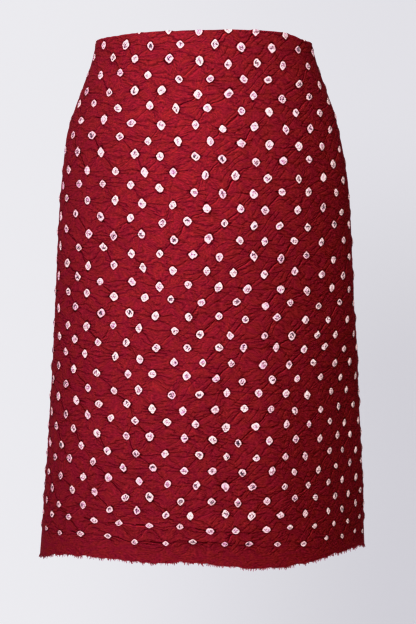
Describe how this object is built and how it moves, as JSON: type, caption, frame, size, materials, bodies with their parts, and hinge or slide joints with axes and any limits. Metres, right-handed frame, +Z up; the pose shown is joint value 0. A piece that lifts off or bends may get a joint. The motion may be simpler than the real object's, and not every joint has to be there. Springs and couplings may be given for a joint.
{
  "type": "bandhani cloth wrap",
  "caption": "Tie-dyed cloth wrapped once round as a knee-length skirt, open at waist and hem, its side edges overlapping at the back and its top edge turned in.",
  "frame": {"origin": "on the axis of the wrap, in the plane of its top edge", "axes": "+Z up along the axis of the wrap, -Y towards the front, +X to the right seen from the front"},
  "size_m": [0.4004, 0.2862, 0.6358],
  "materials": {
    "dyed_cloth": "crimson tie-dyed cloth with small white resist dots, matt with a slight sheen"
  },
  "bodies": {
    "root": {"bandhani_cloth": "dyed_cloth"}
  },
  "joints": []
}
